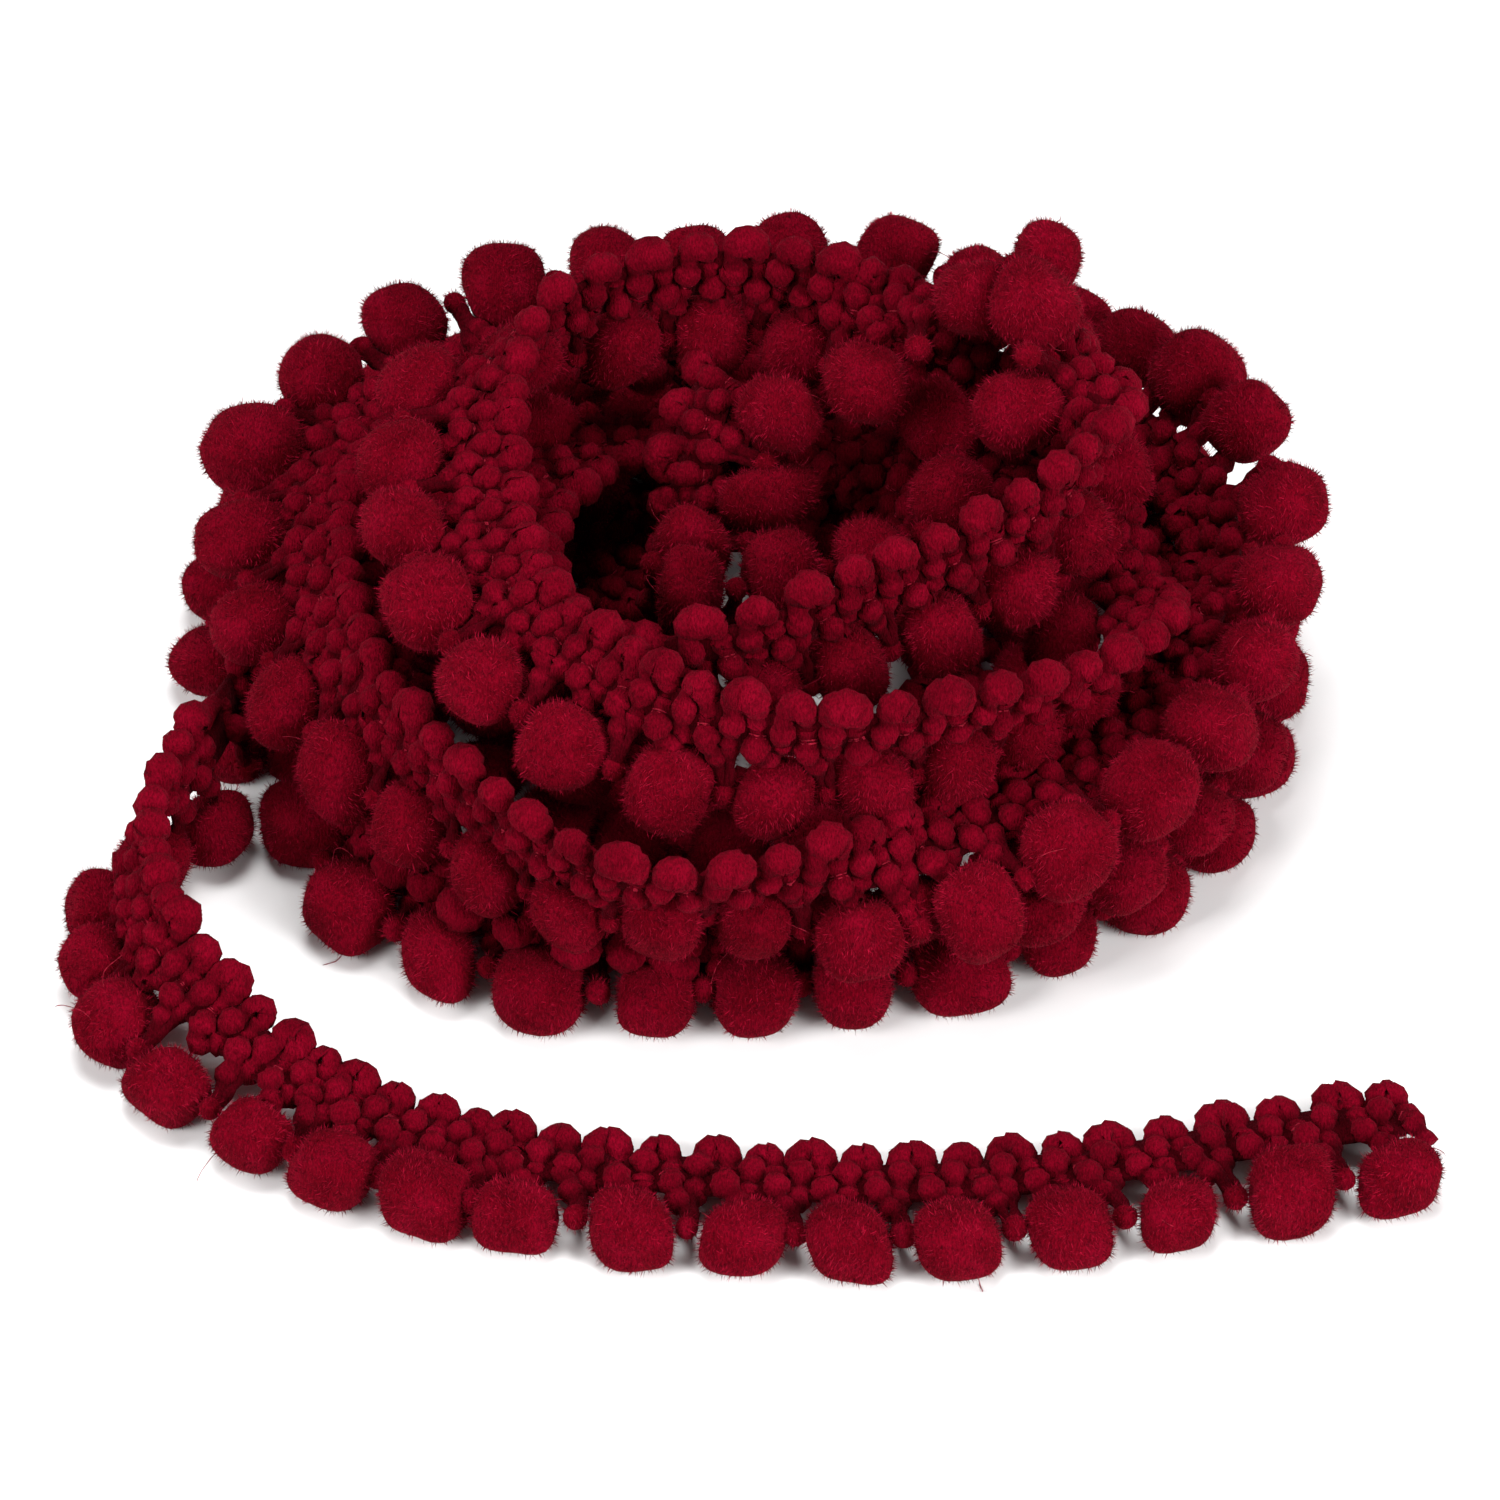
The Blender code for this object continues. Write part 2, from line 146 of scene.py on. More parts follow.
# Fibre. Noise scales are per metre, and the grain's depth is in metres
FIBRE_ROUGHNESS, FIBRE_SPECULAR = 0.95, 0.02
SHEEN_ROUGHNESS = 0.38
YARN_SHEEN, YARN_PILE_SHEEN, POMPOM_PILE_SHEEN = 0.06, 0.10, 0.15
MOTTLE_SCALE, STREAK_SCALE, CLOUD_SCALE, TWIST_SCALE = 260, 5200, 700, 2600
STREAK_STRETCH, STREAK_ROUGHNESS = (1.0, 0.45, 0.32), 0.6
YARN_GRAIN, CLIPPED_GRAIN, THREAD_GRAIN = 0.0004, 0.0003, 0.0001
PILE_FOOT_PAINTED_SHADE, PILE_TIP_PAINTED_HIGHLIGHT = 0.20, 1.90  # of the pile's colour: painted shade at the foot, painted highlight at the tip

# Light and camera, in metres and watts. The target is the middle of the view
TARGET = (0.00099, 0.00475, 0.0)
LIGHT_SIZE = 0.40
LIGHTS = (("left", (-0.60, -0.45, 0.48), 6.6),
          ("right", (0.62, -0.52, 0.42), 9.6),
          ("top", (-0.05, 0.12, 0.90), 6.4))
CAMERA_ELEVATION = 45       # degrees
CAMERA_DISTANCE = 0.800
VIEW_WIDTH = 0.1705         # at the target
SENSOR = 36                 # mm

# The route of the trim, from its inner end to its free end. The turn angle
# goes counter-clockwise from +X. The lean turns the band about its own path:
# 0 has the pompoms outward, 90 down, 180 inward and 270 up.
# The rows at turns 1014.7 to 1084.6, 1223.3 to 1315.2, 1331.1 to 1432.9 and
# 1657.6 to 1734.5 were worked out from places in the photograph.
# turn_deg, radius, height, lean_deg
ROUTE = [
    # innermost loose end
    (  99, 19,   33.5, -170),
    ( 110, 16.5, 33,   -170),
    ( 124, 13.3, 31,   -170),
    ( 136, 11.5, 27,   -166),
    ( 150,  9.8, 22.5, -158),
    ( 175,  9.5, 19,   -130),
    ( 200, 13,   18,    -92),
    ( 220, 13.5, 17.5,  -80),
    ( 240, 11,   17,    -82),
    ( 270,  8,   17,    -86),
    ( 310,  8,   17,    -85),
    ( 340, 10.5, 17.5,  -75),
    ( 365, 14.5, 18.5,  -62),
    ( 395, 18,   20,    -45),
    ( 420, 20,   20.5,  -12),
    ( 437, 21,   21,      8),
    ( 455, 21.7, 21.5,   18),
    ( 480, 23,   22,     18),
    ( 510, 25.5, 23,     10),
    ( 540, 27.5, 24.5,    8),
    ( 562, 29,   25.5,    8),
    ( 580, 30,   26.5,   20),
    ( 596, 32.5, 29,     42),
    ( 607, 34,   33.5,   70),
    ( 616, 34.5, 38.5,   85),
    # front rim, band upright
    ( 626, 34,   40.7,   85),
    ( 635, 32.3, 41.5,   85),
    ( 645, 30.5, 42,     85),
    ( 658, 29.5, 42,     85),
    ( 672, 30.5, 42.5,   85),
    ( 685, 32,   43,     85),
    ( 699, 35,   43,     90),
    ( 708, 36.3, 43.5,  105),
    # right top, pompoms turned up and inward
    ( 715, 36.7, 44,    150),
    ( 721, 37,   45,    195),
    ( 729, 36.5, 44.5,  220),
    ( 738, 36.5, 43,    243),
    ( 747, 38,   41.5,  253),
    ( 753, 36,   41.5,  253),
    ( 759, 30,   42.5,  240),
    ( 764, 25.5, 43.5,  210),
    ( 771, 22.5, 43.5,  165),
    ( 780, 21.5, 43,    128),
    ( 792, 22.5, 42.5,  105),
    # back rim upright
    ( 810, 24.3, 42.5,   95),
    ( 837, 26,   42.5,   92),
    ( 857, 29,   42,     85),
    ( 870, 31,   41,     60),
    # left flank, band nearly flat
    ( 880, 32,   40,     32),
    ( 892, 32,   38.5,   11),
    ( 905, 31,   37.5,    4),
    ( 919, 32.2, 37.5,    6),
    ( 930, 34,   38,     10),
    ( 941, 36,   38.5,   16),
    ( 953, 38,   38.5,   22),
    ( 965, 40.2, 38.5,   40),
    # second front rim, upright
    ( 976, 42.8, 38.5,   60),
    ( 986, 44.5, 38.5,   78),
    ( 997, 45.5, 38,     90),
    (1014.7, 45.9, 37, 102),
    (1019.8, 46.3, 36.5, 104),
    (1025.6, 46.3, 35.3, 106),
    (1031.6, 46.6, 34, 110),
    (1038.6, 46.7, 32.3, 115),
    (1046.4, 46.9, 30.3, 124),
    (1053.5, 45.9, 28.2, 142),
    (1063.5, 43.4, 25.5, 178),
    (1075.3, 42.3, 22.3, 222),
    (1084.6, 42.4, 20.2, 250),
    (1095, 41,   19.5,  268),
    (1110, 41,   20,    270),
    (1125, 40,   22,    280),
    (1137, 38,   23,    295),
    (1149, 36.5, 24,    312),
    (1162, 34.5, 24.5,  328),
    (1176, 33,   25,    336),
    (1192, 34,   25,    338),
    (1207, 38,   25.5,  338),
    # big outer ring
    (1223.3, 44.1, 25.5, 350),
    (1245.2, 50.6, 25.3, 368),
    (1259.9, 50.3, 25, 384),
    (1276.3, 50.2, 24.8, 402),
    (1292.7, 50.8, 25.2, 420),
    (1305.3, 51.9, 25.7, 436),
    (1315.2, 53.5, 26, 449),
    (1331.1, 56.9, 25.8, 460),
    (1336.7, 56.6, 25.4, 470),
    (1341.7, 56, 25.1, 474),
    (1346.6, 54.7, 25, 472),
    (1352.1, 53.3, 24.7, 462),
    (1357.3, 52.4, 24.3, 444),
    (1363.3, 51.4, 23.8, 420),
    (1370, 50.1, 23.4, 398),
    (1378.3, 48.8, 23.2, 372),
    (1387.5, 48.5, 23.2, 361),
    (1396.5, 48.5, 22.8, 352),
    (1404.7, 48.5, 22.3, 348),
    (1413.4, 48.7, 21.8, 345),
    (1423.3, 48.9, 21.3, 340),
    (1432.9, 50, 21, 331),
    (1441, 51,   20.8,  323),
    (1452, 50.5, 21.5,  320),
    (1462, 48.5, 20.5,  321),
    (1477, 48,   17,    328),
    (1495, 47,   12.5,  340),
    (1520, 45,   11,    350),
    (1550, 43.5, 11,    350),
    (1580, 44.5, 11,    345),
    # second ring
    (1605, 46,   11,    340),
    (1617, 46.5, 10.5, 336),
    (1627, 48, 9.5, 318),
    (1635, 50, 8.8, 292),
    (1643, 52.3, 8.8, 262),
    (1657.6, 52.1, 10.2, 232),
    (1665.9, 51.9, 11.3, 215),
    (1672.3, 52.2, 11.5, 205),
    (1678.5, 52.1, 11.5, 200),
    (1684.2, 51.3, 11.2, 200),
    (1689.5, 49.9, 10.5, 200),
    (1694.9, 48.7, 9.5, 203),
    (1700.7, 47.6, 8.2, 212),
    (1706.8, 46.8, 7, 230),
    (1713.3, 46, 6.5, 255),
    (1720.4, 45.1, 7, 280),
    (1727.6, 45.7, 8, 303),
    (1734.5, 46.9, 9.3, 322),
    (1750, 47,   10.5,  348),
    (1775, 48,    9.7,  350),
    (1800, 47.5,  9.8,  350),
    (1825, 43,   10,    350),
    (1850, 36.5, 10.3,  350),
    (1875, 30.8, 10.3,  350),
    (1900, 26,   10,    350),
    (1925, 22.3,  9.2,  350),
    (1950, 20.2,  7.6,  350),
    (1975, 19.7,  5.4,  350),
    (1995, 20.2,  4.1,  351),
    # inner turn on the floor
    (2015, 20.8,  3.6,  352),
    (2045, 21.3,  3.6,  352),
    (2080, 21.3,  3.6,  352),
    (2115, 21.3,  3.6,  352),
    (2150, 21.5,  3.6,  352),
    (2180, 22.3,  3.6,  352),
    (2210, 24.5,  3.6,  352),
    (2240, 27.2,  3.6,  352),
    (2270, 30,    3.6,  352),
    (2300, 33.3,  3.6,  352),
    (2320, 36,    3.6,  352),
    (2335, 38,    3.6,  352),
    # ring on the floor
    (2352, 42.5,  3.6,  352),
    (2365, 47.5,  3.6,  352),
    (2377, 50.3,  3.6,  352),
    (2393, 48.8,  3.6,  352),
    (2406, 46.8,  3.6,  352),
    (2417, 44,    3.6,  352),
    (2432, 42,    3.6,  352),
    (2450, 43,    3.6,  352),
    (2473, 45,    3.6,  352),
    (2500, 47,    3.6,  352),
    (2540, 48.5,  3.6,  352),
    (2580, 48.5,  3.6,  352),
    (2620, 51,    3.6,  352),
    (2650, 53,    3.8,  352),
    (2675, 54,    4.4,  355),
    (2690, 54.5,  5.5,  365),
    (2702, 56.3,  8.5,  405),
    (2710, 59.3, 12.5,  450),
    # loose end: leaves upright, turns over and lies flat along the front
    (2717, 64,   13.3,  470),
    (2721, 68,   13.3,  468),
    (2725, 73.5, 13.8,  448),
    (2728, 77.5, 13.3,  430),
    (2731, 79.8, 12.6,  420),
    (2735, 82,   12,    413),
    (2740, 82.9, 10.2,  398),
    (2746, 82.6,  7.1,  376),
    (2753, 81.6,  4.6,  360),
    (2762, 80,    3.6,  352),
    (2773, 78.5,  3.6,  352),
    (2785, 77.5,  3.6,  352),
    (2798, 79,    3.6,  352),
    (2812, 82.5,  3.6,  352),
    (2822, 86.5,  3.6,  352),
    (2829, 91,    3.6,  352),
    (2834, 96,    3.6,  352),
    (2836.5, 99,  3.6,  352),
]

# Pompoms of the loose end, which the twist crowds and spreads. They too were
# worked out from places in the photograph.
# turn_deg
LOOSE_POMPOMS = [
    2721.3, 2726.0, 2730.2, 2734.6, 2739.4, 2745.5, 2752.0, 2758.3, 2765.3,
    2772.0, 2780.2, 2788.7, 2796.3, 2804.2, 2811.8, 2819.3, 2827.0, 2833.6,
]


def smooth_rows(rows, steps):
    """Catmull-Rom through every row of a table, column by column."""
    p = np.vstack([2 * rows[0] - rows[1], rows, 2 * rows[-1] - rows[-2]])
    a, b, c, d = p[:-3], p[1:-2], p[2:-1], p[3:]
    out = np.empty((len(a) * steps, rows.shape[1]))
    for k in range(steps):
        t = k / steps
        out[k::steps] = 0.5 * (2 * b + (c - a) * t
                               + (2 * a - 5 * b + 4 * c - d) * t * t
                               + (3 * b - a - 3 * c + d) * t ** 3)
    return np.vstack([out, rows[-1:]])


def unit(vectors):
    """Rows of length 1."""
    return vectors / np.linalg.norm(vectors, axis=1)[:, None]


def lengths_along(points):
    """The length of a line up to each of its points."""
    steps = np.linalg.norm(np.diff(points, axis=0), axis=1)
    return np.concatenate([[0.0], np.cumsum(steps)])


class Path:
    """The route with its tangent and width directions by length."""

    def __init__(self, rows):
        table = smooth_rows(np.asarray(rows, float), ROUTE_STEPS)
        turn = np.radians(table[:, 0])
        self.turn = table[:, 0]
        self.point = np.stack([table[:, 1] * np.cos(turn) - CENTRE_X,
                               table[:, 1] * np.sin(turn) - CENTRE_Y,
                               table[:, 2]], -1)
        self.tangent = unit(np.gradient(self.point, axis=0))
        outward = unit(np.cross(self.tangent, [0.0, 0.0, 1.0]))
        upward = np.cross(outward, self.tangent)
        lean = np.radians(table[:, 3])[:, None]
        self.width = np.cos(lean) * outward - np.sin(lean) * upward
        self.length = lengths_along(self.point)

    def at_turn(self, turn_deg):
        return float(np.interp(turn_deg, self.turn, self.length))

    def pompom_stations(self, stop):
        """Lengths at which the evenly spaced pompoms sit, up to stop."""
        neutral = lengths_along(self.point + NEUTRAL_LINE * self.width)
        wanted = np.arange(FIRST_POMPOM, neutral[-1], POMPOM_PITCH)
        found = np.interp(wanted, neutral, self.length)
        return found[found < stop]

    def frames(self, s):
        """Points, tangents, width directions and face normals at many lengths."""
        def read(column):
            return np.stack([np.interp(s, self.length, column[:, k])
                             for k in range(3)], -1)
        tangent = unit(read(self.tangent))
        width = read(self.width)
        width = unit(width - tangent * np.sum(width * tangent, 1)[:, None])
        return read(self.point), tangent, width, np.cross(tangent, width)


# The yarn of one pitch, from a big crown to the next. Each row is a place of
# the yarn's middle: along the trim from the big crown, across the trim from
# the path, through the trim, and the yarn's radius.
YARN = [
    (-1.35, -2.55, 0.00, 1.52), (-1.05, -3.35, 0.05, 1.92),
    (0.00, -3.90, 0.10, 2.20), (1.05, -3.35, 0.05, 1.92),
    (1.35, -2.55, 0.05, 1.55), (1.42, -1.75, 0.30, 1.12),
    (1.45, -0.95, 0.60, 1.55), (1.45, -0.10, 0.65, 1.58),
    (1.45, 0.95, 0.00, 0.95), (1.60, 2.15, -0.60, 1.62),
    (2.20, 3.20, -0.30, 0.95), (3.00, 4.00, 0.20, 1.50),
    (3.75, 3.20, 0.45, 0.95), (4.10, 2.30, 0.60, 1.55),
    (4.10, 1.60, 0.55, 1.50), (4.10, 0.75, 0.00, 0.95),
    (4.10, -0.45, -0.60, 1.58), (4.20, -1.65, -0.30, 1.02),
    (4.38, -2.40, 0.00, 1.38), (4.70, -3.10, 0.05, 1.70),
    (5.40, -3.55, 0.10, 1.92), (6.10, -3.10, 0.05, 1.70),
    (6.42, -2.40, 0.05, 1.40), (6.60, -1.65, 0.30, 1.05),
    (6.75, -0.60, 0.62, 1.65), (6.80, 0.75, 0.00, 0.95),
    (6.95, 1.70, -0.55, 1.50), (7.10, 2.40, -0.50, 1.45),
    (7.60, 3.40, -0.30, 0.95), (8.05, 4.40, 0.20, 1.45),
    (8.60, 5.60, 0.10, 0.80), (9.10, 7.60, 0.05, 0.85),
    (9.40, 8.60, 0.05, 0.85), (9.50, 6.40, 0.05, 0.75),
    (9.35, 4.00, 0.20, 0.80), (9.35, 2.15, 0.60, 1.65),
    (9.38, 0.85, 0.00, 0.95), (9.40, -0.45, -0.60, 1.58),
    (9.42, -1.75, -0.30, 1.08),
]
YARN_STEPS = 2              # points of the yarn for each row
YARN_SIDES = 7
YARN_BEFORE_POMPOM = 3.9    # from the big crown to its pompom
YARN_LAST_ROW = 30          # where the yarn ends after the last pompom
YARN_SPREADS = (0.26, 0.26, 0.24)   # along, across and through, at random
YARN_THICKNESS_SPREAD = 0.10
YARN_SQUASH = 0.02
YARN_ROUNDNESS = 4          # power that keeps the knobs round between pinches
THINNEST = 0.06             # of the radius's power
CROWN_LINE = -2             # rows beyond this are the crowns
CROWN_CALM = 0.35           # part of the spreads that the crowns have
CROWN_HEIGHT_SPREAD = 0.07
CROWN_THICKNESS_SPREAD = 0.06
CROWN_PINCHES = (8, 25)     # rows of the pinches under the crowns
PINCH_RADIUS, KNOB_RISE = 0.85, 0.50    # the painted shade lifts from pinch to knob over these radii
# Painted shade in the yarn's pinches and on the core inside its knobs
PAINTED_PINCH_SHADE, PAINTED_CORE_SHADE = 0.40, 0.30
CORE = (-2.4, 3.0, 0.35)    # low and high edge across the trim, half thickness
CORE_STEP = 2.4
CORE_BEFORE = 3.0           # before the first pompom
CORE_AFTER = 4.0            # after the last
CORE_JOIN = 6.0             # from the coil's last pompom to the loose end's core
CORE_OVERLAP = 2.0          # and how far the coil's core runs into that one
BEAD_AFTER_POMPOM = 5.4
BEAD_ACROSS = 8.8
BEAD_RADIUS = 1.40
BEAD_SIZES = (0.9, 1.1)
BEAD_SHIFT = 0.3            # across the trim, at random
BEAD_LUMP, BEAD_WAVES, BEAD_PITCH = 0.05, 4, 2.4
BEAD_POINTS = 70


def build_mesh(name, verts, faces, smooth=True, shade=None):
    """An object from points in millimetres and blocks of faces of one size each."""
    mesh = bpy.data.meshes.new(name)
    faces = [np.asarray(f, np.int32) for f in faces]
    total = sum(len(f) for f in faces)
    loops = np.concatenate([f.ravel() for f in faces])
    sizes = np.concatenate([np.full(len(f), f.shape[1]) for f in faces])
    mesh.vertices.add(len(verts))
    mesh.vertices.foreach_set("co", (np.asarray(verts) * MM).ravel())
    mesh.loops.add(len(loops))
    mesh.loops.foreach_set("vertex_index", loops)
    mesh.polygons.add(total)
    starts = np.concatenate([[0], np.cumsum(sizes)[:-1]])
    mesh.polygons.foreach_set("loop_start", starts.astype(np.int32))
    mesh.polygons.foreach_set("use_smooth", np.full(total, smooth))
    if shade is not None:
        mesh.attributes.new("shade", "FLOAT", "POINT").data.foreach_set("value", shade)
    mesh.update(calc_edges=True)
    mesh.validate()
    obj = bpy.data.objects.new(name, mesh)
    bpy.context.scene.collection.objects.link(obj)
    return obj


def clear_floor(verts, height):
    """Points no lower than a height above the floor."""
    verts[:, 2] = np.maximum(verts[:, 2], height)
    return verts


def ring_quads(count, sides):
    """Quads between each ring of points and the next."""
    ring = np.arange(count - 1)[:, None] * sides
    k = np.arange(sides)[None, :]
    n = (k + 1) % sides
    quads = np.stack([ring + k, ring + n, ring + sides + n, ring + sides + k], -1)
    return quads.reshape(-1, 4)


def tube(middle, radius, up, sides, squash=None):
    """Rings of points along a line, with its faces and two end faces."""
    along = unit(np.gradient(middle, axis=0))
    up = unit(up - along * np.sum(up * along, 1)[:, None])
    side = np.cross(along, up)
    count = len(middle)
    angle = ((np.arange(sides)[None, :] + 0.5 * (np.arange(count)[:, None] % 2))
             * 2 * pi / sides)
    wide = radius[:, None] * (np.ones(sides) if squash is None else squash)
    verts = (middle[:, None, :]
             + (wide * np.cos(angle))[:, :, None] * up[:, None, :]
             + (wide * np.sin(angle))[:, :, None] * side[:, None, :])
    first = np.arange(sides)[None, :]
    last = (count - 1) * sides + np.arange(sides)[None, ::-1]
    return verts.reshape(-1, 3), ring_quads(count, sides)[:, ::-1], np.vstack([first, last])


def join_tubes(tubes):
    """Many tubes' points, quads and end faces as one mesh."""
    starts = np.cumsum([0] + [len(verts) for verts, _, _ in tubes])
    return (np.vstack([verts for verts, _, _ in tubes]),
            np.vstack([quads + start for (_, quads, _), start in zip(tubes, starts)]),
            np.vstack([ends + start for (_, _, ends), start in zip(tubes, starts)]))


def trim_places(path):
    """Lengths of all pompoms, and how many of them the coil has."""
    coil = path.pompom_stations(path.at_turn(COIL_END_TURN))
    loose = np.array([path.at_turn(turn) for turn in LOOSE_POMPOMS])
    return np.concatenate([coil, loose]), len(coil)


def yarn_rows(places, rng):
    """The yarn's middle in trim coordinates, one pitch after another."""
    table = np.array(YARN)
    rows = []
    for i, place in enumerate(places):
        last = i + 1 == len(places)
        ahead = POMPOM_PITCH if last else places[i + 1] - place
        stretch = ahead / POMPOM_PITCH
        start = place - YARN_BEFORE_POMPOM * stretch
        one = table[:YARN_LAST_ROW].copy() if last else table.copy()
        tall = 1.0 + rng.uniform(-CROWN_HEIGHT_SPREAD, CROWN_HEIGHT_SPREAD)
        crown = one[:, 1] < CROWN_LINE
        one[crown, 1] = CROWN_LINE + (one[crown, 1] - CROWN_LINE) * tall
        free = np.where(crown, CROWN_CALM, 1.0)
        for k, spread in enumerate(YARN_SPREADS):
            one[:, k] += rng.uniform(-spread, spread, len(one)) * free
        one[:, 3] *= 1 + rng.uniform(-YARN_THICKNESS_SPREAD, YARN_THICKNESS_SPREAD,
                                     len(one)) * free
        one[crown, 3] *= 1 + rng.uniform(-CROWN_THICKNESS_SPREAD, CROWN_THICKNESS_SPREAD)
        one[:, 0] = start + one[:, 0] * stretch
        rows.append(one)
    return np.vstack(rows)


def past_the_ends(path, s, tangent):
    """How far lengths beyond the path's ends lie from them."""
    return tangent * (s - np.clip(s, 0, path.length[-1]))[:, None]


def core_strip(path, start, stop):
    """The flat binding that runs inside the knobs, as a ribbon with thickness."""
    s = np.arange(start, stop, CORE_STEP)
    point, tangent, width, face = path.frames(s)
    low, high, half = CORE
    corners = [(low, half), (high, half), (high, -half), (low, -half)]
    verts = np.stack([point + past_the_ends(path, s, tangent) + width * y + face * z
                      for y, z in corners], 1)
    last = (len(s) - 1) * 4 + np.arange(4)
    caps = np.vstack([np.arange(4)[None, ::-1], last[None, :]])
    return verts.reshape(-1, 3), ring_quads(len(s), 4), caps


def build_heading(path, places, coil_count, rng):
    """The heading's yarn, as one piece for the coil and one for the loose end."""
    rows = yarn_rows(places, rng)
    rows[:, 3] **= YARN_ROUNDNESS
    line = smooth_rows(rows, YARN_STEPS)
    point, tangent, width, face = path.frames(line[:, 0])
    middle = (point + past_the_ends(path, line[:, 0], tangent) + width * line[:, 1:2]
              + face * line[:, 2:3])
    radius = np.maximum(line[:, 3], THINNEST) ** (1 / YARN_ROUNDNESS)
    squash = 1 + rng.uniform(-YARN_SQUASH, YARN_SQUASH, (len(line), YARN_SIDES))
    pitch = len(YARN) * YARN_STEPS
    pinches = [i * pitch + row * YARN_STEPS
               for i in range(len(places)) for row in CROWN_PINCHES]
    cut = coil_count * pitch
    core_cut = places[coil_count - 1] + CORE_JOIN
    pieces = []
    for name, a, b, start, stop in (
            ("heading_coil", 0, cut + 1, places[0] - CORE_BEFORE, core_cut + CORE_OVERLAP),
            ("heading_loose", cut, len(line), core_cut, places[-1] + CORE_AFTER)):
        verts, quads, caps = tube(middle[a:b], radius[a:b], face[a:b], YARN_SIDES,
                                  squash[a:b])
        core, core_quads, core_caps = core_strip(path, start, stop)
        whole = clear_floor(np.vstack([verts, core]), YARN_CLEAR)
        # Painted shade: darker in the yarn's pinches, darkest on the core between the knobs
        knob = np.clip((radius[a:b] - PINCH_RADIUS) / KNOB_RISE, 0, 1)
        shade = np.repeat(PAINTED_PINCH_SHADE + (1 - PAINTED_PINCH_SHADE) * knob, YARN_SIDES)
        shade = np.concatenate([shade, np.full(len(core), PAINTED_CORE_SHADE)])
        blocks = [quads, caps, core_quads + len(verts), core_caps + len(verts)]
        pieces.append((name, whole, blocks, shade))
    return pieces, (middle, radius, pinches)


def ball_points(count):
    """Evenly spread points on a ball of radius 1, and its triangles."""
    k = np.arange(count) + 0.5
    high = 1 - 2 * k / count
    turn = k * pi * (3 - 5 ** 0.5)      # the golden angle
    flat = np.sqrt(1 - high ** 2)
    points = np.stack([flat * np.cos(turn), flat * np.sin(turn), high], -1)
    bm = bmesh.new()
    for point in points:
        bm.verts.new(point)
    bmesh.ops.convex_hull(bm, input=bm.verts)
    bmesh.ops.triangulate(bm, faces=bm.faces)
    bm.verts.index_update()
    points = np.array([v.co[:] for v in bm.verts])
    faces = np.array([[v.index for v in f.verts] for f in bm.faces])
    bm.free()
    a, b, c = points[faces[:, 0]], points[faces[:, 1]], points[faces[:, 2]]
    inward = np.sum(np.cross(b - a, c - a) * a, 1) < 0
    faces[inward] = faces[inward][:, ::-1]
    return points, faces


def lumps(points, rng, waves, pitch):
    """A smooth uneven height over a ball's points, from about -1 to 1."""
    height = np.zeros(len(points))
    for _ in range(waves):
        direction = rng.normal(size=3)
        direction *= pitch / np.linalg.norm(direction)
        height += np.sin(points @ direction + rng.uniform(0, 2 * pi))
    return height / waves ** 0.5


def pompom_shape(ball, half, widest, barrels, room, axes, rng):
    """One pompom's points about its centre, squeezed where it has little room."""
    along, across, through = axes
    squeeze = min(max(room * TOUCH_SHARE / half[0], LEAST_SQUEEZE), 1.0)
    half_along = np.clip(room * ROOM_SHARE, half[0], widest)
    size = rng.uniform(*SIZES)
    power = rng.uniform(*barrels)
    barrel = (np.abs(ball) ** power).sum(axis=1) ** (-1 / power)
    uneven = (1 + SWELL * lumps(ball, rng, SWELL_WAVES, SWELL_PITCH)
              + DIMPLE * lumps(ball, rng, DIMPLE_WAVES, DIMPLE_PITCH))
    shape = ball * (size * barrel * uneven)[:, None]
    return (np.outer(shape[:, 0], along) * half_along * squeeze
            + np.outer(shape[:, 1], across) * half[1] * squeeze ** SQUEEZED_ACROSS
            + np.outer(shape[:, 2], through) * half[2] * squeeze ** SQUEEZED_THROUGH)


def skewed(shape, row, rng):
    """A pompom leaning a little along its row, and a little thicker or thinner."""
    row = row / np.linalg.norm(row)
    along = shape @ row
    across = shape - along[:, None] * row
    along = along + across @ (rng.normal(size=3) * SKEW)
    return across * (1 + GIRTH * rng.normal()) + along[:, None] * row


def pressed(shape, apart, distance):
    """A pompom pressed flat where others stand too near."""
    for k in np.where((distance < PRESS_REACH) & (distance > 0.1))[0]:
        toward = apart[k] / distance[k]
        past = shape @ toward - (distance[k] / 2 - PRESS_SOFT)
        soft = PRESS_SOFT * np.log1p(np.exp(np.clip(past / PRESS_SOFT, -30, 30)))
        shape -= (soft * PRESS_SHARE)[:, None] * toward
    return shape


def pompom_balls(path, places, coil_count, rng):
    """Every pompom's centre, and its points and triangles."""
    point, tangent, width, face = path.frames(places)
    centres = point + width * POMPOM_ROW
    resting = centres[:, 2] < POMPOM_DIAMETER / 2 + NEAR_FLOOR
    centres[resting, 2] = POMPOM_DIAMETER / 2 - FLAT
    ball, faces = ball_points(BALL_POINTS)
    balls = []
    for i, centre in enumerate(centres):
        apart = centres - centre
        distance = np.linalg.norm(apart, axis=1)
        room = min(distance[k] for k in (i - 1, i + 1) if 0 <= k < len(centres))
        kind = COIL_KIND if i < coil_count else LOOSE_KIND
        shape = pompom_shape(ball, *kind, room, (tangent[i], width[i], face[i]), rng)
        inner = 0 < i < len(centres) - 1
        row = centres[i + 1] - centres[i - 1] if inner else tangent[i]
        shape = pressed(skewed(shape, row, rng), apart, distance) + centre
        low = shape[:, 2] < FLOOR_BEND
        bent = np.exp((shape[low, 2] - FLOOR_BEND) / FLOOR_SOFT)
        shape[low, 2] = BALL_CLEAR + (FLOOR_BEND - BALL_CLEAR) * bent
        balls.append((shape, faces))
    return centres, balls


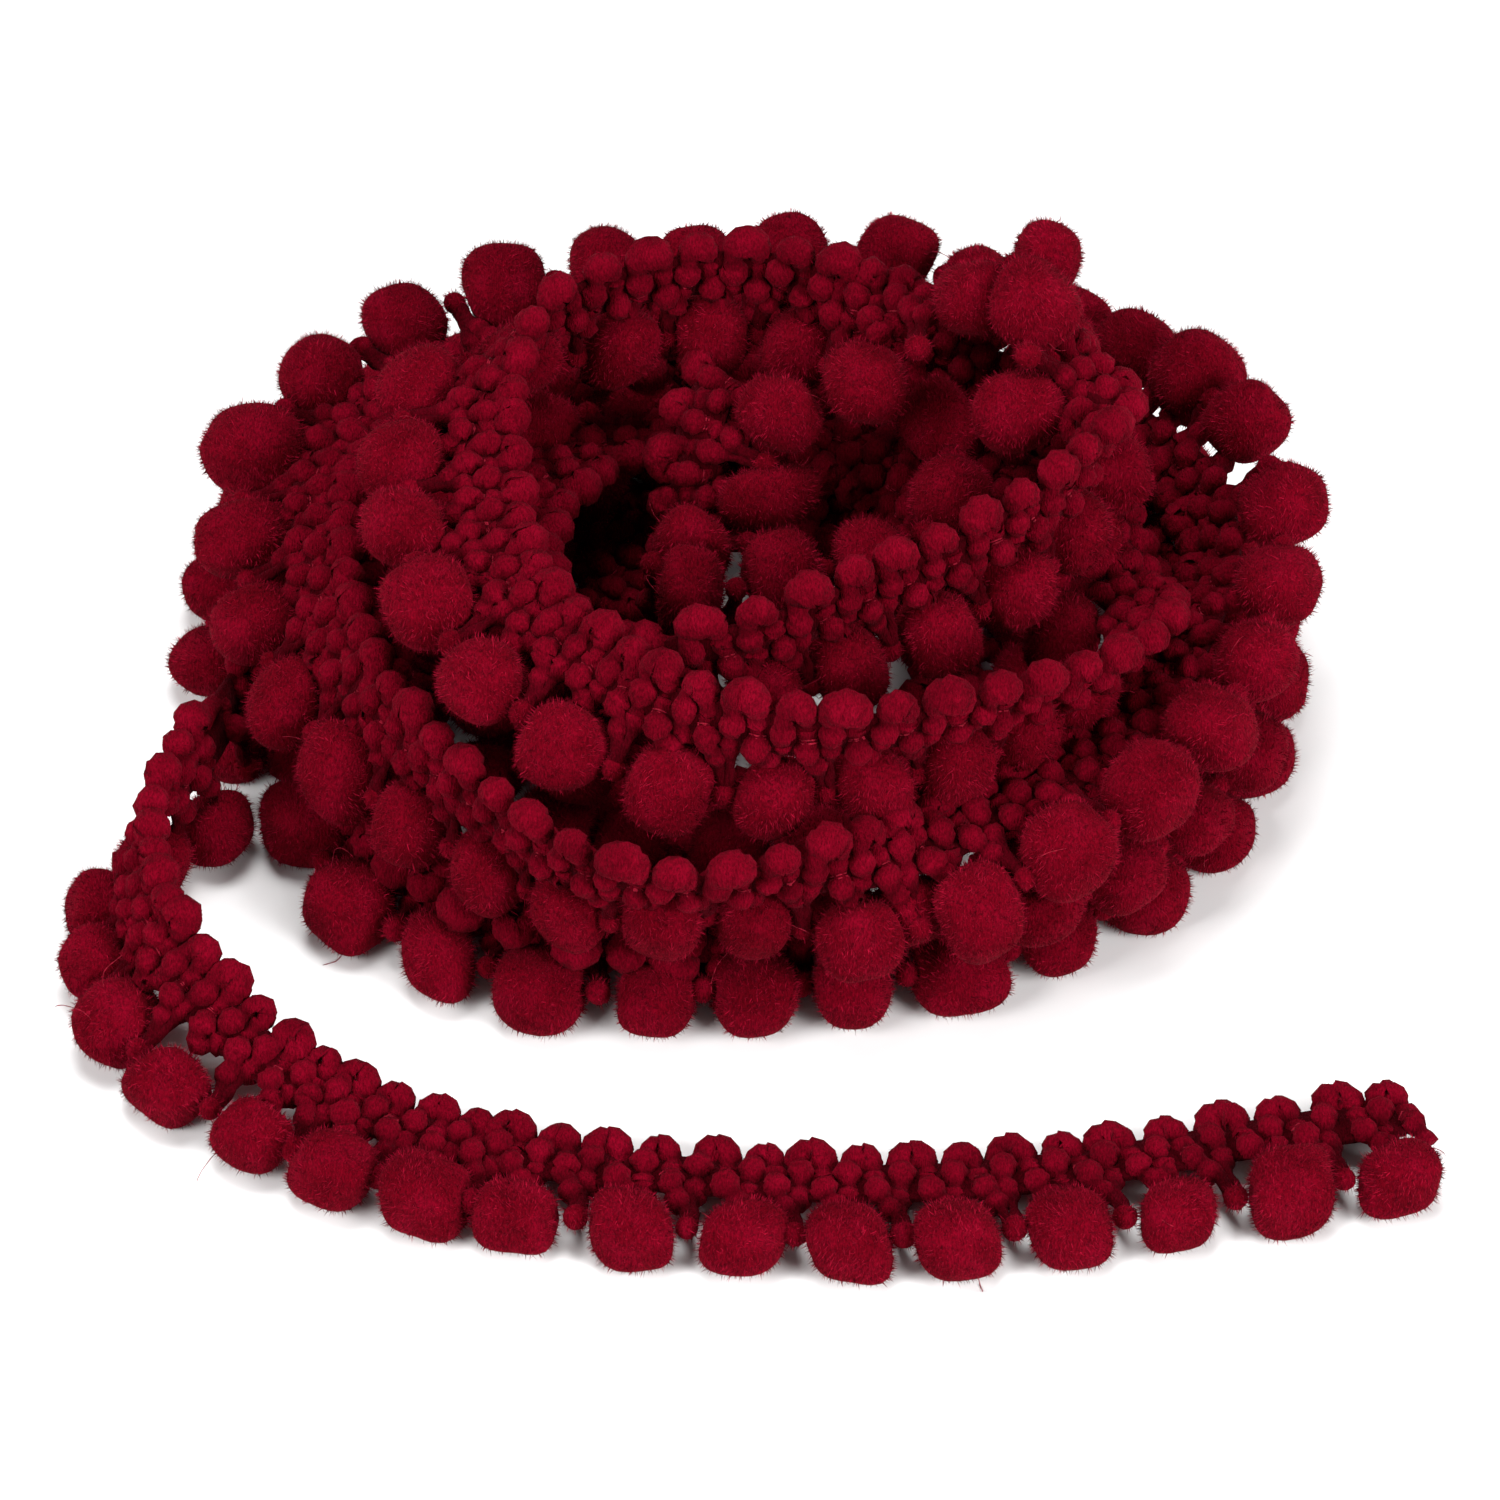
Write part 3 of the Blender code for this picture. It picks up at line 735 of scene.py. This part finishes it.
def beads(path, places, rng):
    """The small tight ball between every two pompoms."""
    ahead = np.diff(places)
    point, _, width, _ = path.frames(
        places[:-1] + BEAD_AFTER_POMPOM * ahead / POMPOM_PITCH)
    ball, faces = ball_points(BEAD_POINTS)
    out = []
    for p, w in zip(point, width):
        radius = BEAD_RADIUS * rng.uniform(*BEAD_SIZES)
        uneven = 1 + BEAD_LUMP * lumps(ball, rng, BEAD_WAVES, BEAD_PITCH)
        shape = ball * (radius * uneven)[:, None]
        shape = shape + p + w * (BEAD_ACROSS + rng.uniform(-BEAD_SHIFT, BEAD_SHIFT))
        out.append((clear_floor(shape, BALL_CLEAR), faces))
    return out


def join_balls(balls):
    """Many balls' points and triangles as one mesh."""
    starts = np.cumsum([0] + [len(points) for points, _ in balls])
    verts = np.vstack([points for points, _ in balls])
    tris = np.vstack([faces + start for (_, faces), start in zip(balls, starts)])
    return verts, tris


def pile(verts, faces, count, blade, rng, surface_painted_shade=None):
    """Blades of pile on a surface of quads or triangles, one triangle each.

    Where the surface's painted shade is given, the pile is thinner, shorter
    and darker with painted shade in its dark places. Returns points, triangles and a shade
    by point.
    """
    length, width = blade
    if faces.shape[1] == 4:
        faces = np.vstack([faces[:, :3], faces[:, [0, 2, 3]]])
    a, b, c = (verts[faces[:, k]] for k in range(3))
    normal = np.cross(b - a, c - a)
    area = np.linalg.norm(normal, axis=1)
    normal /= np.maximum(area, 1e-9)[:, None]
    share = area * np.where(normal[:, 2] < UNDERSIDE, UNDERSIDE_SHARE, 1.0)
    if surface_painted_shade is not None:
        lit = surface_painted_shade[faces].mean(1)
        share *= lit ** 2
    chosen = np.searchsorted(np.cumsum(share) / share.sum(), rng.random(count))
    chosen = np.minimum(chosen, len(area) - 1)
    u, v = rng.random(count), rng.random(count)
    fold = u + v > 1
    u[fold], v[fold] = 1 - u[fold], 1 - v[fold]
    foot = (a[chosen] + (b[chosen] - a[chosen]) * u[:, None]
            + (c[chosen] - a[chosen]) * v[:, None])

    n = normal[chosen]
    waves = rng.normal(size=(3, 3)) * COMB_WAVE
    combed = np.sin(foot @ waves + rng.uniform(0, 2 * pi, 3)) * COMB
    sway = rng.normal(size=(count, 3)) * BLADE_LEAN + combed
    sway[:, 2] -= DROOP
    direction = unit(n + sway)
    side = np.cross(direction, n + BLADE_TURN * rng.normal(size=(count, 3)))
    side /= np.maximum(np.linalg.norm(side, axis=1), 1e-9)[:, None]
    size = length * rng.uniform(*BLADE_LENGTHS, count)
    size[rng.random(count) < LONG_SHARE] *= LONGER
    half = side * (width / 2 * rng.uniform(*BLADE_WIDTHS, count))[:, None]
    foot = foot - n * ROOT
    tip = clear_floor(foot + direction * size[:, None], PILE_CLEAR)
    foot = clear_floor(foot, PILE_CLEAR)
    blades = np.stack([foot - half, foot + half, tip], 1)
    shade = DARKEST + (1 - DARKEST) * rng.random(count) ** DARK_POWER
    # Painted shade: each blade darker at its foot than at its tip
    shade = shade[:, None] * np.array([FOOT_SHADE, FOOT_SHADE, 1.0])
    if surface_painted_shade is not None:
        # the surface's painted pinch shade darkens the blades there too
        shade *= lit[chosen][:, None]
        foot = blades[:, :2].mean(1)
        reach = PINCHED_LENGTH + (1 - PINCHED_LENGTH) * lit[chosen]
        blades[:, 2] = foot + (blades[:, 2] - foot) * reach[:, None]
    return blades.reshape(-1, 3), np.arange(3 * count).reshape(-1, 3), shade.ravel()


def binding_thread(middle, radius, pinches, rng):
    """Two turns of thread round each pinch under the crowns."""
    around = np.arange(THREAD_SIDES + 1) * 2 * pi / THREAD_SIDES
    loops = []
    for k in pinches:
        along = middle[k + 1] - middle[k - 1]
        along /= np.linalg.norm(along)
        up = np.cross(along, rng.normal(size=3))
        up /= np.linalg.norm(up)
        side = np.cross(along, up)
        for shift in (-THREAD_SHIFT, THREAD_SHIFT):
            stray = rng.uniform(-THREAD_GAP_STRAY, THREAD_GAP_STRAY)
            reach = radius[k] + THREAD_GAP + stray
            ring = (middle[k] + along * (shift + THREAD_STRAY * rng.normal())
                    + reach * (np.cos(around)[:, None] * up
                               + np.sin(around)[:, None] * side))
            verts, quads, ends = tube(ring, np.full(len(ring), THREAD_RADIUS),
                                      np.tile(along, (len(ring), 1)), 3)
            loops.append((clear_floor(verts, YARN_CLEAR), quads, ends))
    return join_tubes(loops)


def stray_fibres(points, normals, rng):
    """Long loose curly fibres, as fine tubes."""
    fibres = []
    for _ in range(FIBRES):
        k = rng.integers(len(points))
        heading = normals[k] + rng.normal(size=3) * FIBRE_SPREAD
        heading /= np.linalg.norm(heading)
        steps = int(rng.integers(*FIBRE_STEPS))
        middle = [points[k] - normals[k] * FIBRE_ROOT]
        curl = rng.normal(size=3) * FIRST_CURL
        for j in range(steps):
            curl = curl * CURL_KEPT + rng.normal(size=3) * CURL_CHANGE
            heading = heading + curl * CURL_TURN + np.array([0, 0, -SAG * j])
            if j > FREE_STEPS:
                heading -= normals[k] * HUG
            heading /= np.linalg.norm(heading)
            middle.append(middle[-1] + heading * FIBRE_STEP)
        middle = clear_floor(np.array(middle), FIBRE_CLEAR)
        radius = np.full(len(middle), FIBRE_RADIUS)
        radius[-1] = FIBRE_TIP
        fibres.append(tube(middle, radius, np.tile(FIBRE_UP, (len(middle), 1)), 3))
    return join_tubes(fibres)


def nodes_of(name, roughness, specular):
    """A material, its node tree and its shader."""
    material = bpy.data.materials.new(name)
    material.use_nodes = True
    tree = material.node_tree
    shader = tree.nodes["Principled BSDF"]
    shader.inputs["Roughness"].default_value = roughness
    shader.inputs["Specular IOR Level"].default_value = specular
    return material, tree, shader


def fibre_nodes(name, sheen):
    """A fibre's material, with its soft sheen."""
    material, tree, shader = nodes_of(name, FIBRE_ROUGHNESS, FIBRE_SPECULAR)
    shader.inputs["Sheen Weight"].default_value = sheen
    shader.inputs["Sheen Roughness"].default_value = SHEEN_ROUGHNESS
    shader.inputs["Sheen Tint"].default_value = (*SHEEN_TINT, 1)
    return material, tree, shader


def add(tree, kind, **values):
    """A node with its inputs or properties set."""
    node = tree.nodes.new(kind)
    for key, value in values.items():
        if key in node.inputs:
            node.inputs[key].default_value = value
        else:
            setattr(node, key, value)
    return node


def noise(tree, scale, detail, stretch=(1, 1, 1), roughness=0.5):
    """The value of a noise in object coordinates."""
    place = add(tree, "ShaderNodeTexCoord")
    scaling = add(tree, "ShaderNodeMapping", Scale=stretch)
    texture = add(tree, "ShaderNodeTexNoise", Scale=scale, Detail=detail,
                  Roughness=roughness)
    tree.links.new(place.outputs["Object"], scaling.inputs["Vector"])
    tree.links.new(scaling.outputs["Vector"], texture.inputs["Vector"])
    return texture.outputs["Fac"]


def grey(value):
    """A factor on all three colours."""
    return (value, value, value)


def ramp(tree, value, stops):
    """A colour ramp over a value, from its positions and colours."""
    node = add(tree, "ShaderNodeValToRGB")
    elements = node.color_ramp.elements
    elements[0].position, elements[0].color = stops[0][0], (*stops[0][1], 1)
    elements[1].position, elements[1].color = stops[-1][0], (*stops[-1][1], 1)
    for position, colour in stops[1:-1]:
        elements.new(position).color = (*colour, 1)
    tree.links.new(value, node.inputs["Fac"])
    return node.outputs["Color"]


def multiply(tree, a, b):
    """One colour times another."""
    node = add(tree, "ShaderNodeMix", data_type="RGBA", blend_type="MULTIPLY")
    node.inputs["Factor"].default_value = 1.0
    tree.links.new(a, node.inputs["A"])
    tree.links.new(b, node.inputs["B"])
    return node.outputs["Result"]


def raise_grain(tree, shader, height, strength, distance):
    """A fine bump on top of the mesh's own form."""
    relief = add(tree, "ShaderNodeBump", Strength=strength, Distance=distance)
    tree.links.new(height, relief.inputs["Height"])
    tree.links.new(relief.outputs["Normal"], shader.inputs["Normal"])


def fibre_material(name, colours, grain, with_painted_pinch_shade):
    """Matt dyed fibre: mottled and finely streaked, with painted shade in its pinches."""
    material, tree, shader = fibre_nodes(name, YARN_SHEEN)
    mottle = ramp(tree, noise(tree, MOTTLE_SCALE, 3.0),
                  list(zip((0.3, 0.5, 0.72), colours)))
    streak = noise(tree, STREAK_SCALE, 2.0, STREAK_STRETCH, STREAK_ROUGHNESS)
    shade = ramp(tree, streak, [(0.34, grey(0.62)), (0.50, grey(0.95)),
                                (0.66, grey(1.30))])
    colour = multiply(tree, mottle, shade)
    if with_painted_pinch_shade:
        # Painted shade: the mesh's shade attribute darkens the pinches and the core
        depth = add(tree, "ShaderNodeAttribute", attribute_name="shade")
        colour = multiply(tree, colour, depth.outputs["Color"])
    tree.links.new(colour, shader.inputs["Base Color"])
    raise_grain(tree, shader, streak, 1.0, grain)
    return material


def blade_material(name, colour, sheen):
    """Pile: painted shade at the foot, painted highlight at the tip, each blade a little
    different.
    """
    material, tree, shader = fibre_nodes(name, sheen)
    shade = add(tree, "ShaderNodeAttribute", attribute_name="shade")
    # Painted shade at each blade's foot and a painted highlight at its tip
    dark, light = (tuple(c * share for c in colour) for share in (PILE_FOOT_PAINTED_SHADE, PILE_TIP_PAINTED_HIGHLIGHT))
    length = ramp(tree, shade.outputs["Fac"], [(0.1, dark), (1.0, light)])
    cloudy = ramp(tree, noise(tree, CLOUD_SCALE, 3.0),
                  [(0.36, grey(0.66)), (0.64, grey(1.20))])
    tree.links.new(multiply(tree, length, cloudy), shader.inputs["Base Color"])
    return material


def thread_material(name):
    """Fine binding thread, twisted."""
    material, tree, shader = nodes_of(name, 0.7, 0.15)
    twist = noise(tree, TWIST_SCALE, 1.0)
    colour = ramp(tree, twist, list(zip((0.35, 0.65), THREAD_COLOURS)))
    tree.links.new(colour, shader.inputs["Base Color"])
    raise_grain(tree, shader, twist, 0.6, THREAD_GRAIN)
    return material


def lay(obj, material, stands_for=()):
    """Material, slot and body of a piece, and the CAD nodes that it replaces."""
    obj.data.materials.append(material)
    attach(obj, "root")
    if stands_for:
        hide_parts(*stands_for)
    return obj


def build_object():
    """The trim's pieces, dressed over the CAD's solids."""
    rng = np.random.default_rng(SEED)
    path = Path(ROUTE)
    places, coil_count = trim_places(path)
    loose_count = len(places) - coil_count
    half_count = coil_count // 2

    # The yarn's material carries painted shade in its pinches and on its core
    yarn = fibre_material("dyed_yarn_painted_shade", YARN_COLOURS, YARN_GRAIN, True)
    clipped = fibre_material("clipped_pile", CLIPPED_COLOURS, CLIPPED_GRAIN, False)
    blade = blade_material("yarn_pile", YARN_PILE_COLOUR, YARN_PILE_SHEEN)
    tuft = blade_material("pompom_pile", POMPOM_PILE_COLOUR, POMPOM_PILE_SHEEN)
    thread = thread_material("binding_thread")

    heading, pinches = build_heading(path, places, coil_count, rng)
    pieces = {}
    for name, verts, blocks, shade in heading:
        pieces[name] = build_mesh(name, verts, blocks, shade=shade)
    centres, balls = pompom_balls(path, places, coil_count, rng)
    small = beads(path, places, rng)
    first, second, loose = (
        balls[a:b] + small[a:b]
        for a, b in ((0, half_count), (half_count, coil_count), (coil_count, None)))
    for name, balls_of in (("pompoms_coil", first + second), ("pompoms_loose", loose)):
        verts, tris = join_balls(balls_of)
        pieces[name] = build_mesh(name, verts, [tris])
    lay(pieces["heading_coil"], yarn, ["wound_coil"])
    lay(pieces["heading_loose"], yarn, ["loose_end_heading"])
    lay(pieces["pompoms_coil"], clipped)
    lay(pieces["pompoms_loose"], clipped,
        ["pompom_%02d" % (k + 1) for k in range(loose_count)])

    (_, coil_verts, (coil_quads, *_), coil_shade), (
        _, loose_verts, (loose_quads, *_), loose_shade) = heading
    middle = len(coil_quads) // 2
    for name, verts, quads, count, surface_painted_shade, slot in (
            ("coil_a", coil_verts, coil_quads[:middle], half_count, coil_shade, "coil"),
            ("coil_b", coil_verts, coil_quads[middle:], half_count, coil_shade, "coil"),
            ("loose", loose_verts, loose_quads, loose_count, loose_shade, "heading")):
        name = "pile_heading_" + name
        points, tris, shade = pile(verts, quads, count * HEADING_PILE, HEADING_BLADE,
                                   rng, surface_painted_shade)
        pieces[name] = lay(build_mesh(name, points, [tris], False, shade), blade)
    for name, balls_of, count, slot in (("coil_a", first, half_count, "coil"),
                                        ("coil_b", second, half_count, "coil"),
                                        ("loose", loose, loose_count, "pompom")):
        name = "pile_pompoms_" + name
        points, tris, shade = pile(*join_balls(balls_of), count * POMPOM_PILE,
                                   POMPOM_BLADE, rng)
        pieces[name] = lay(build_mesh(name, points, [tris], False, shade), tuft)

    verts, quads, caps = binding_thread(*pinches, rng)
    lay(build_mesh("binding_thread", verts, [quads, caps]), thread)
    verts, _ = join_balls(balls)
    normals = unit(np.vstack([ball - centre for (ball, _), centre in zip(balls, centres)]))
    verts, quads, caps = stray_fibres(verts, normals, rng)
    lay(build_mesh("stray_fibres", verts, [quads, caps]), thread)


def aim(obj, place):
    """Put a light or camera in its place, looking at the target."""
    target = Vector(TARGET)
    obj.location = place
    obj.rotation_euler = (target - obj.location).to_track_quat("-Z", "Y").to_euler()
    bpy.context.scene.collection.objects.link(obj)


def build_stage():
    """A pale floor, soft light from above and the camera."""
    scene = bpy.context.scene
    far = 3000
    floor = build_mesh("floor", [(-far, -far, 0), (far, -far, 0),
                                 (far, far, 0), (-far, far, 0)],
                       [[(0, 1, 2, 3)]], smooth=False)
    material, _, shader = nodes_of("pale_floor", 0.9, 0.5)
    shader.inputs["Base Color"].default_value = (*FLOOR_COLOUR, 1)
    floor.data.materials.append(material)

    scene.world = bpy.data.worlds.new("soft_room")
    scene.world.use_nodes = True
    background = scene.world.node_tree.nodes["Background"]
    background.inputs["Color"].default_value = (*ROOM_COLOUR, 1)
    background.inputs["Strength"].default_value = ROOM_STRENGTH

    for name, place, power in LIGHTS:
        light = bpy.data.lights.new(name, "AREA")
        light.size, light.energy = LIGHT_SIZE, power
        aim(bpy.data.objects.new(name, light), place)

    elevation = radians(CAMERA_ELEVATION)
    camera = bpy.data.objects.new("camera", bpy.data.cameras.new("camera"))
    camera.data.sensor_width = SENSOR
    camera.data.lens = SENSOR * CAMERA_DISTANCE / VIEW_WIDTH
    camera.data.clip_start = 0.01
    aim(camera, Vector(TARGET) + Vector((0, -cos(elevation), sin(elevation)))
        * CAMERA_DISTANCE)
    scene.camera = camera
    scene.view_settings.view_transform = "Standard"


build_object()
build_stage()
